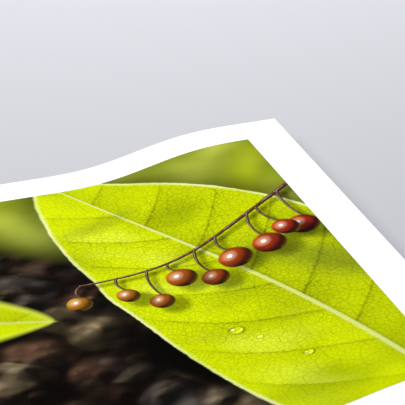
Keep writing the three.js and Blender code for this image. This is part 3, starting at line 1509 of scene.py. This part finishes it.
@dataclass(frozen=True)
class Slab:
    """A thin rectangular layer of the sheet, with a rounded rim.

    Attributes:
        form: How it bends.
        length: Its length when flat.
        width: Its width when flat.
        low: The height of its back over the sheet's underside.
        high: The height of its front over the sheet's underside.
        rounding: The radius of the rim's rounding.
        pitch: The length and the width of a face of its grid.
        turns: How many faces round each quarter of the rim's section.
    """

    form: SheetForm
    length: float
    width: float
    low: float
    high: float
    rounding: float
    pitch: Pair = (0.0015, 0.005)
    turns: int = 3

    def stations(self, size: float, pitch: float) -> Array:
        """Evenly spaced places along one side, inside the rim."""
        half = size / 2 - self.rounding
        return np.linspace(-half, half, round(size / pitch) + 1)

    def rim_profile(self) -> tuple[Array, Array]:
        """The rim's section from front to back: a quarter circle, a straight drop and another.

        Returns:
            How far out and how high each point is, without the two ends, which are the faces' own.
        """
        turn = np.linspace(0, math.pi / 2, self.turns + 1)
        out = self.rounding * np.sin(turn)
        drop = self.rounding * (1 - np.cos(turn))
        outs = np.concatenate((out, out[::-1]))
        highs = np.concatenate((self.high - drop, self.low + drop[::-1]))
        return outs[1:-1], highs[1:-1]

    def grid(self) -> tuple[Array, Array, Array]:
        """The grid that the front and the back share.

        Returns:
            Its places along the sheet, its places up the sheet, and its points' numbers row by row.
        """
        xs = self.stations(self.length, self.pitch[0])
        ys = self.stations(self.width, self.pitch[1])
        return xs, ys, np.arange(len(xs) * len(ys)).reshape(len(ys), len(xs))

    @staticmethod
    def outline(numbers: Array) -> Array:
        """The numbers of a grid's outer points, in their order round it."""
        right, left = numbers[:-1, -1], numbers[:0:-1, 0]
        return np.concatenate((numbers[0, :-1], right, numbers[-1, :0:-1], left))

    def flat_points(self) -> tuple[Array, Array, Array]:
        """The slab's points before it is bent: the front's grid, the back's, and the rim's rings.

        A ring is the grid's outline moved away from the middle by the section's reach there, and a
        corner moves both ways.

        Returns:
            Places along the sheet, places up the sheet, and heights over the sheet's underside.
        """
        xs, ys, numbers = self.grid()
        x, y = (a.ravel() for a in np.meshgrid(xs, ys))
        loop = self.outline(numbers)
        loop_x, loop_y = x[loop], y[loop]
        away_x = np.sign(loop_x) * (abs(loop_x) >= xs[-1])
        away_y = np.sign(loop_y) * (abs(loop_y) >= ys[-1])
        outs, highs = self.rim_profile()
        faces = np.repeat([self.high, self.low], len(x))
        return (
            np.concatenate([x, x] + [loop_x + away_x * out for out in outs]),
            np.concatenate([y, y] + [loop_y + away_y * out for out in outs]),
            np.concatenate([faces, np.repeat(highs, len(loop))]),
        )

    def faces(self) -> dict[Region, Array]:
        """Joins the points up.

        A face of the grid joins two neighbours in one row to the same two in the next, and a face
        of the rim does so from ring to ring.

        Returns:
            The point numbers of each region's faces, which all turn outwards.
        """
        *_, numbers = self.grid()
        low, high = numbers[:-1], numbers[1:]
        quads = np.stack((low[:, :-1], low[:, 1:], high[:, 1:], high[:, :-1]), axis=-1)
        front = quads.reshape(-1, 4)
        loop = self.outline(numbers)
        between = np.arange(2 * self.turns * len(loop)).reshape(-1, len(loop)) + 2 * numbers.size
        rings = np.concatenate((loop[None], between, loop[None] + numbers.size))
        around = np.roll(rings, -1, axis=1)
        rim = np.stack((rings[:-1], rings[1:], around[1:], around[:-1]), axis=-1).reshape(-1, 4)
        return {Region.FRONT: front, Region.BACK: front[:, ::-1] + numbers.size, Region.RIM: rim}

    def rim_map(self, count: int) -> Array:
        """The rim unrolled: the share of the way round it, and the share of the way over it.

        Args:
            count: How many faces the rim has.

        Returns:
            Two shares for each corner of each face.
        """
        steps = 2 * self.turns + 1
        ring = count // steps
        lap = np.tile(np.arange(ring), steps)
        step = np.repeat(np.arange(steps), ring)
        along = np.stack((lap, lap, lap + 1, lap + 1), axis=1) / ring
        over = np.stack((step, step + 1, step + 1, step), axis=1) / steps
        return np.stack((along.ravel(), over.ravel()), axis=1)

    def mesh(self, name: str, home: Vector, layout: "BakeLayout") -> bpy.types.Mesh:
        """Makes the bent slab.

        Args:
            name: The mesh's name.
            home: What to add to the bent points to bring them to the model's place.
            layout: Where each region lies on the map that a bake goes through.

        Returns:
            The mesh, with each face's region as the place of its material, and with two maps:
            "Sheet", which runs from 0 to 1 over the flat slab, and "OFBake".
        """
        x, y, lift = self.flat_points()
        faces = self.faces()
        corners = np.concatenate(list(faces.values()))
        mesh = bpy.data.meshes.new(name)
        mesh.from_pydata(self.form.bend(x, y, lift) + np.array(home), [], corners)
        region = np.repeat(list(faces), [len(part) for part in faces.values()])
        mesh.polygons.foreach_set("material_index", region.astype(np.int32))
        mesh.polygons.foreach_set("use_smooth", region != Region.RIM)

        shares = np.stack((x / self.length + 0.5, y / self.width + 0.5), axis=1)
        sides = {side: shares[faces[side].ravel()] for side in (Region.FRONT, Region.BACK)}
        own = sides | {Region.RIM: self.rim_map(len(faces[Region.RIM]))}
        baked = np.concatenate([layout.place(part, own_shares) for part, own_shares in own.items()])
        for title, values in (("Sheet", shares[corners.ravel()]), ("OFBake", baked)):
            flat = values.astype(np.float32).ravel()
            mesh.uv_layers.new(name=title).uv.foreach_set("vector", flat)
        mesh.uv_layers.active = mesh.uv_layers["Sheet"]
        mesh.uv_layers["Sheet"].active_render = True
        return mesh


@dataclass(frozen=True)
class BakeLayout:
    """Stacks a slab's front, back and rim in one square map, one above the other.

    Attributes:
        front: The height of the front's band.
        back: The height of the back's.
        rim: The height of the rim's.
        gap: The gap between two bands, and round them.
    """

    front: float
    back: float
    rim: float
    gap: float = 0.004

    def place(self, region: Region, shares: Array) -> Array:
        """Puts a region's own map in its band of the square.

        Args:
            region: The region.
            shares: Two shares from 0 to 1 for each corner of each face.

        Returns:
            The corners' places in the square.
        """
        heights = (self.front, self.back, self.rim)
        below = sum(heights[region + 1 :]) + self.gap * (len(heights) - region)
        return shares * (1 - 2 * self.gap, heights[region]) + (self.gap, below)


# -------------------------------------------------------------------------------------------------
# Finishes
# -------------------------------------------------------------------------------------------------


@dataclass(frozen=True)
class Finish:
    """The surface of one kind of paper: its colour, gloss and fine relief.

    Attributes:
        name: Its name.
        colour: Its colour.
        roughness: Its roughness.
        shine: How strongly it reflects.
        relief: How strong its relief is, from 0 to 1.
        relief_size: The width of the relief's grains.
    """

    UNEVEN: ClassVar[float] = 0.03  # how far the roughness wanders
    CLOUDY: ClassVar[float] = 0.01  # how far the lightness wanders
    GLOSS_CLOUD: ClassVar[float] = 30 * MM  # the width of the clouds that the roughness follows
    COLOUR_CLOUD: ClassVar[float] = 50 * MM  # the width of those that the lightness follows
    RELIEF_HEIGHT: ClassVar[float] = 0.05 * MM

    name: str
    colour: Rgb
    roughness: float
    shine: float
    relief: float
    relief_size: float

    def gloss(self, book: NodeBook, where: Tint) -> Shade:
        """How rough the surface is at a point, unevened by broad clouds."""
        cloud, _ = book.noise(where, self.GLOSS_CLOUD, planar=False)
        return cloud.between(self.roughness - self.UNEVEN, self.roughness + self.UNEVEN)

    def paint(self, book: NodeBook, where: Tint) -> Tint:
        """The colour of the surface at a point, with a faint cloudiness."""
        cloud, _ = book.noise(where, self.COLOUR_CLOUD, planar=False)
        return book.vector(*self.colour) * cloud.between(1.0 - self.CLOUDY, 1.0 + self.CLOUDY)

    def material(self) -> bpy.types.Material:
        """Makes the material.

        Returns:
            The material.
        """
        material = bpy.data.materials.new(self.name)
        material.use_nodes = True
        book = NodeBook(material.node_tree)
        where = Tint(book, book.add("ShaderNodeTexCoord", {}, {}).outputs["Object"])
        grains, _ = book.noise(where, self.relief_size, planar=False)
        relief = {"Height": grains, "Strength": self.relief, "Distance": self.RELIEF_HEIGHT}
        bump = book.add("ShaderNodeBump", {}, relief)
        surface = {
            "Base Color": self.paint(book, where),
            "Roughness": self.gloss(book, where),
            "Normal": Tint(book, bump.outputs["Normal"]),
            "Specular IOR Level": self.shine,
        }
        shader = book.add("ShaderNodeBsdfPrincipled", {}, surface)
        book.add("ShaderNodeOutputMaterial", {}, {"Surface": Shade(book, shader.outputs["BSDF"])})
        material.diffuse_color = (*self.colour, 1.0)
        return material


@dataclass(frozen=True)
class PrintedFinish(Finish):
    """The coat that carries the picture. Its own colour is only the picture's at a glance.

    Attributes:
        composition: The picture.
    """

    composition: Composition = Composition((269.0, 182.0))

    def paint(self, book: NodeBook, where: Tint) -> Tint:
        """The picture, read from the sheet's own map."""
        chart = Tint(book, book.add("ShaderNodeUVMap", {"uv_map": "Sheet"}, {}).outputs["UV"])
        return self.composition.paint(book, chart * (*self.composition.size, 0.0))


PEARL_FRONT = Finish(
    name="pearl_front",
    colour=(0.93, 0.93, 0.935),
    roughness=0.40,
    shine=0.08,
    relief=0.25,
    relief_size=0.8 * MM,
)
SATIN_BACK = Finish(
    name="satin_back",
    colour=(0.90, 0.90, 0.90),
    roughness=0.55,
    shine=0.20,
    relief=0.20,
    relief_size=1.2 * MM,
)
CUT_RIM = Finish(
    name="cut_rim",
    colour=(0.88, 0.87, 0.85),
    roughness=0.80,
    shine=0.20,
    relief=0.50,
    relief_size=0.3 * MM,
)
PRINTED_COAT = PrintedFinish(
    name="printed_coat",
    colour=(0.42, 0.50, 0.06),
    roughness=0.34,
    shine=0.045,
    relief=0.25,
    relief_size=0.8 * MM,
)
COAT_RIM = Finish(
    name="coat_rim",
    colour=(0.80, 0.80, 0.78),
    roughness=0.50,
    shine=0.30,
    relief=0.20,
    relief_size=0.5 * MM,
)


# -------------------------------------------------------------------------------------------------
# The print
# -------------------------------------------------------------------------------------------------


@dataclass
class Print:
    """The sheet and the picture on it, in the places of their solids.

    Attributes:
        form: How the sheet bends.
        border: The width of the white border.
        thickness: The sheet's thickness.
        rounding: The radius of its rim's rounding.
        layer_gap: The gap between the sheet and the picture's coat.
        picture_thickness: The coat's thickness.
        picture_rounding: The radius of its rim's rounding.
    """

    SURVEY: ClassVar[tuple[int, int]] = (1189, 43)  # points along and up it that find its box

    form: SheetForm = SheetForm()
    border: float = 14 * MM
    thickness: float = 0.26 * MM
    rounding: float = 0.05 * MM
    layer_gap: float = 0.02 * MM
    picture_thickness: float = 0.04 * MM
    picture_rounding: float = 0.01 * MM

    def slab(self, inset: float, low: float, high: float, rounding: float) -> Slab:
        """A layer of the sheet whose outline lies a distance inside the sheet's own."""
        length, width = self.form.length - 2 * inset, self.form.width - 2 * inset
        return Slab(self.form, length, width, low, high, rounding)

    def home(self) -> Vector:
        """Measures how far the bent sheet is from its solid.

        Returns:
            What brings it to the middle and the lowest point of the solid.
        """
        along, up = (np.linspace(-0.5, 0.5, count) for count in self.SURVEY)
        x, y = np.meshgrid(along * self.form.length, up * self.form.width)
        lifts = [np.full(x.size, height) for height in (0.0, self.thickness)]
        points = np.concatenate([self.form.bend(x.ravel(), y.ravel(), lift) for lift in lifts])
        low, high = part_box("paper_sheet")
        middle = Vector((points.min(axis=0) + points.max(axis=0)) / 2)
        step = (Vector(low) + Vector(high)) / 2 - middle
        return Vector((step.x, step.y, low[2] - points[:, 2].min()))

    def piece(
        self,
        name: str,
        slab: Slab,
        maps: BakeLayout,
        finishes: list[Finish],
        node: str,
        slot: str,
    ) -> bpy.types.Object:
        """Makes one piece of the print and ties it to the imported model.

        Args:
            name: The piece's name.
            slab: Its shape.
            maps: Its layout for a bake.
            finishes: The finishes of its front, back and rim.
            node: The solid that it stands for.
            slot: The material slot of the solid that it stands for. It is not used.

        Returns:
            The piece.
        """
        mesh = slab.mesh(name, self.home(), maps)
        piece = bpy.data.objects.new(name, mesh)
        bpy.context.scene.collection.objects.link(piece)
        for finish in finishes:
            mesh.materials.append(finish.material())
        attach(piece, "root")
        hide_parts(node)
        return piece

    def build_sheet(self) -> bpy.types.Object:
        """Makes the white sheet: a pearly front, a plainer back and a cut rim.

        Returns:
            The piece.
        """
        slab = self.slab(0.0, 0.0, self.thickness, self.rounding)
        maps = BakeLayout(front=0.56, back=0.38, rim=0.03)
        finishes = [PEARL_FRONT, SATIN_BACK, CUT_RIM]
        return self.piece("paper", slab, maps, finishes, "paper_sheet", "photo_paper")

    def build_picture(self) -> bpy.types.Object:
        """Makes the coat with the picture, inside the border.

        Returns:
            The piece.
        """
        low = self.thickness + self.layer_gap
        slab = self.slab(self.border, low, low + self.picture_thickness, self.picture_rounding)
        maps = BakeLayout(front=0.965, back=0.008, rim=0.008)
        finishes = [PRINTED_COAT, COAT_RIM, COAT_RIM]
        return self.piece("picture", slab, maps, finishes, "picture_layer", "printed_picture")


# -------------------------------------------------------------------------------------------------
# The studio
# -------------------------------------------------------------------------------------------------


@dataclass(frozen=True)
class Lamp:
    """A square lamp of soft light.

    Attributes:
        name: Its name.
        place: Where it hangs.
        size: The length of its sides.
        power: Its power, in watts.
        mirrored: Whether glossy surfaces also reflect it, and not only receive its light.
    """

    name: str
    place: Place
    size: float
    power: float
    mirrored: bool = True

    def hang(self, aim: Vector) -> None:
        """Hangs the lamp in its place.

        Args:
            aim: The point that it faces.
        """
        lamp = bpy.data.lights.new(self.name, "AREA")
        lamp.size = self.size
        lamp.energy = self.power
        light = bpy.data.objects.new(self.name, lamp)
        light.location = self.place
        light.rotation_mode = "QUATERNION"
        light.rotation_quaternion = (aim - Vector(self.place)).to_track_quat("-Z", "Y")
        light.visible_glossy = self.mirrored
        bpy.context.scene.collection.objects.link(light)


@dataclass(frozen=True)
class Studio:
    """The pale floor, the soft lights and the camera.

    Attributes:
        aim: The point of the floor below what the camera looks at.
        azimuth: How far the camera's direction is turned to the right of straight up the picture.
        elevation: How steeply it looks down.
        roll: Its turn on its own axis.
        distance: How far it is from what it looks at.
        lens: Its focal length, in millimetres.
        sensor: The width of its sensor, in millimetres.
        clip: The nearest and the furthest that it sees.
        floor_size: The length of the floor's sides.
        floor_drop: The gap between the floor and the sheet.
        floor_colour: The floor's colour.
        floor_roughness: Its roughness.
        floor_shine: How strongly it reflects.
        surround: The strength of the even light all round.
        surround_colour: Its colour.
        lamps: The lamps.
    """

    aim: Pair = (0.10427, 0.04655)
    azimuth: float = math.radians(16.46)
    elevation: float = math.radians(23.48)
    roll: float = math.radians(-2.50)
    distance: float = 0.998
    lens: float = 279.8
    sensor: float = 36.0
    clip: Pair = (0.05, 50.0)
    floor_size: float = 12.0
    floor_drop: float = 0.1 * MM
    floor_colour: Rgb = (0.483, 0.486, 0.518)
    floor_roughness: float = 0.85
    floor_shine: float = 0.15
    surround: float = 0.10
    surround_colour: Rgb = (0.97, 0.98, 1.0)
    lamps: tuple[Lamp, ...] = (
        Lamp("back", (0.26, 0.56, 0.55), size=0.28, power=5.5, mirrored=False),
        Lamp("side", (-0.90, -0.10, 1.40), size=1.0, power=21.6),
    )

    def build_floor(self) -> None:
        """A plain pale floor, just under the sheet."""
        half = self.floor_size / 2
        square = ((-half, -half), (half, -half), (half, half), (-half, half))
        mesh = bpy.data.meshes.new("floor")
        mesh.from_pydata([(x, y, -self.floor_drop) for x, y in square], [], [(0, 1, 2, 3)])
        material = bpy.data.materials.new("floor")
        material.use_nodes = True
        shader = material.node_tree.nodes["Principled BSDF"]
        shader.inputs["Base Color"].default_value = (*self.floor_colour, 1.0)
        shader.inputs["Roughness"].default_value = self.floor_roughness
        shader.inputs["Specular IOR Level"].default_value = self.floor_shine
        mesh.materials.append(material)
        floor = bpy.data.objects.new("floor", mesh)
        bpy.context.scene.collection.objects.link(floor)
        floor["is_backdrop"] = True

    def build_lights(self) -> None:
        """The lamps and an even, pale surrounding light."""
        world = bpy.data.worlds.new("studio")
        world.use_nodes = True
        shade = world.node_tree.nodes["Background"]
        shade.inputs["Color"].default_value = (*self.surround_colour, 1.0)
        shade.inputs["Strength"].default_value = self.surround
        bpy.context.scene.world = world
        for lamp in self.lamps:
            lamp.hang(Vector((*self.aim, 0.0)))

    def build_camera(self) -> None:
        """A long lens that looks down at the sheet's raised end, turned a little on its axis."""
        right = Vector((math.cos(self.azimuth), -math.sin(self.azimuth), 0.0))
        level = Vector((math.sin(self.azimuth), math.cos(self.azimuth), 0.0))
        ahead = level * math.cos(self.elevation) - Vector((0.0, 0.0, math.sin(self.elevation)))
        up = right.cross(ahead)
        side = right * math.cos(self.roll) + up * math.sin(self.roll)
        top = up * math.cos(self.roll) - right * math.sin(self.roll)
        data = bpy.data.cameras.new("camera")
        data.lens = self.lens
        data.sensor_width = self.sensor
        data.clip_start, data.clip_end = self.clip
        camera = bpy.data.objects.new("camera", data)
        aim = Vector((*self.aim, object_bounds()[1].z))
        turn = Matrix((side, top, -ahead)).transposed().to_4x4()
        camera.matrix_world = Matrix.Translation(aim - ahead * self.distance) @ turn
        bpy.context.scene.collection.objects.link(camera)
        bpy.context.scene.camera = camera

    def build(self) -> None:
        """Builds all of it, and shows colours as they are."""
        self.build_camera()
        self.build_floor()
        self.build_lights()
        bpy.context.scene.view_settings.view_transform = "Standard"


def main() -> None:
    """Builds the studio and then the print, and reports each of its pieces."""
    logging.basicConfig(level=logging.INFO, format="%(name)s: %(message)s")
    Studio().build()
    sheet = Print()
    for piece in (sheet.build_sheet(), sheet.build_picture()):
        LOG.info("%s: %d faces", piece.name, len(piece.data.polygons))


if __name__ == "__main__":
    main()
